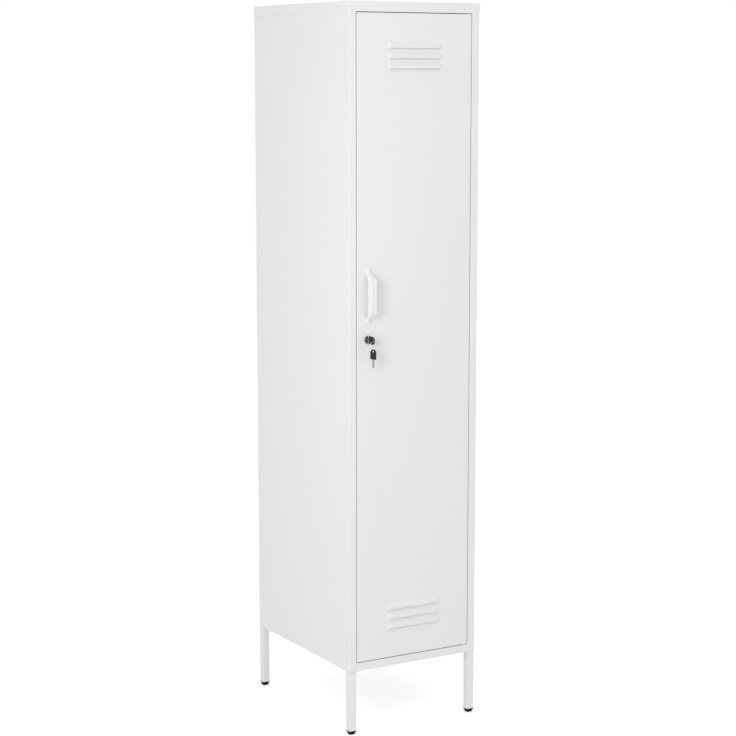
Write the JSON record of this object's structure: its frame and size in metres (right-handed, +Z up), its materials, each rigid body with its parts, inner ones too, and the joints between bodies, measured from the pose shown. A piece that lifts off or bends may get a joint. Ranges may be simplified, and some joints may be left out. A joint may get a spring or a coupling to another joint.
{
  "type": "locker cabinet",
  "caption": "Tall narrow steel locker cabinet: louvred hinged door with bridge handle and cam lock with keys, shelves and a hanging rail inside, on square tube legs with glides.",
  "frame": {"origin": "on the floor, under the middle of the outer box of the cabinet and its handle", "axes": "+Z up, +X to the right as one faces the door, +Y from the door to the back"},
  "size_m": [0.3824, 0.5403, 1.85],
  "materials": {
    "white_powder_coat": "satin powder coat",
    "black_plastic": "moulded satin",
    "chrome": "polished plating",
    "zinc_steel": "zinc plated",
    "white_nylon": "moulded matt",
    "rubber": "matt"
  },
  "bodies": {
    "cabinet": {"left_side_panel": "white_powder_coat", "right_side_panel": "white_powder_coat", "back_panel": "white_powder_coat", "top_panel": "white_powder_coat", "base_tray": "white_powder_coat", "top_rail": "white_powder_coat", "front_left_leg": "white_powder_coat", "front_right_leg": "white_powder_coat", "rear_left_leg": "white_powder_coat", "rear_right_leg": "white_powder_coat", "front_left_shelf_strip": "white_powder_coat", "front_right_shelf_strip": "white_powder_coat", "rear_left_shelf_strip": "white_powder_coat", "rear_right_shelf_strip": "white_powder_coat", "upper_shelf": "white_powder_coat", "lower_shelf": "white_powder_coat", "front_left_foot": "black_plastic", "front_right_foot": "black_plastic", "rear_left_foot": "black_plastic", "rear_right_foot": "black_plastic", "leg_bolts": "zinc_steel", "leg_nuts": "zinc_steel", "back_panel_screws": "zinc_steel", "top_panel_screws": "zinc_steel", "upper_shelf_clips": "zinc_steel", "lower_shelf_clips": "zinc_steel", "left_rail_bracket": "zinc_steel", "right_rail_bracket": "zinc_steel", "hanging_rail": "zinc_steel", "rail_rivets": "zinc_steel", "upper_hinge_bush": "white_nylon", "lower_hinge_bush": "white_nylon", "door_buffers": "rubber"},
    "door": {"door_skin": "white_powder_coat", "door_stiffener": "white_powder_coat", "upper_hinge_bracket": "zinc_steel", "lower_hinge_bracket": "zinc_steel", "upper_hinge_pin": "zinc_steel", "lower_hinge_pin": "zinc_steel", "door_handle": "white_powder_coat", "handle_screws": "zinc_steel", "lock_barrel": "chrome", "lock_nut": "zinc_steel"},
    "lock": {"lock_plug": "chrome", "lock_cam": "zinc_steel", "cam_screw": "zinc_steel"},
    "key": {"key_bow": "black_plastic", "key_blade": "zinc_steel"},
    "ring": {"key_ring": "zinc_steel"},
    "spare_key": {"spare_key_bow": "black_plastic", "spare_key_blade": "zinc_steel"}
  },
  "joints": [
    {"name": "door_swing", "type": "hinge", "parent": "cabinet", "child": "door", "pos_m": [0.159, -0.227, 1.0065], "axis": [0, 0, 1], "range_deg": [0, 110]},
    {"name": "lock_turn", "type": "hinge", "parent": "door", "child": "lock", "pos_m": [-0.136, -0.233, 1.0185], "axis": [0, 1, 0], "range_deg": [0, 90]},
    {"name": "key_pull", "type": "slide", "parent": "lock", "child": "key", "axis": [0, -1, 0], "range_m": [0, 0.02]},
    {"name": "ring_swing", "type": "hinge", "parent": "key", "child": "ring", "pos_m": [-0.136, -0.26, 1.0166], "axis": [-0.9781, -0.2079, 0], "range_deg": [-10, 70]},
    {"name": "spare_key_swing", "type": "hinge", "parent": "ring", "child": "spare_key", "pos_m": [-0.136, -0.26, 0.9936], "axis": [-0.9781, -0.2079, 0], "range_deg": [-10, 60]}
  ]
}
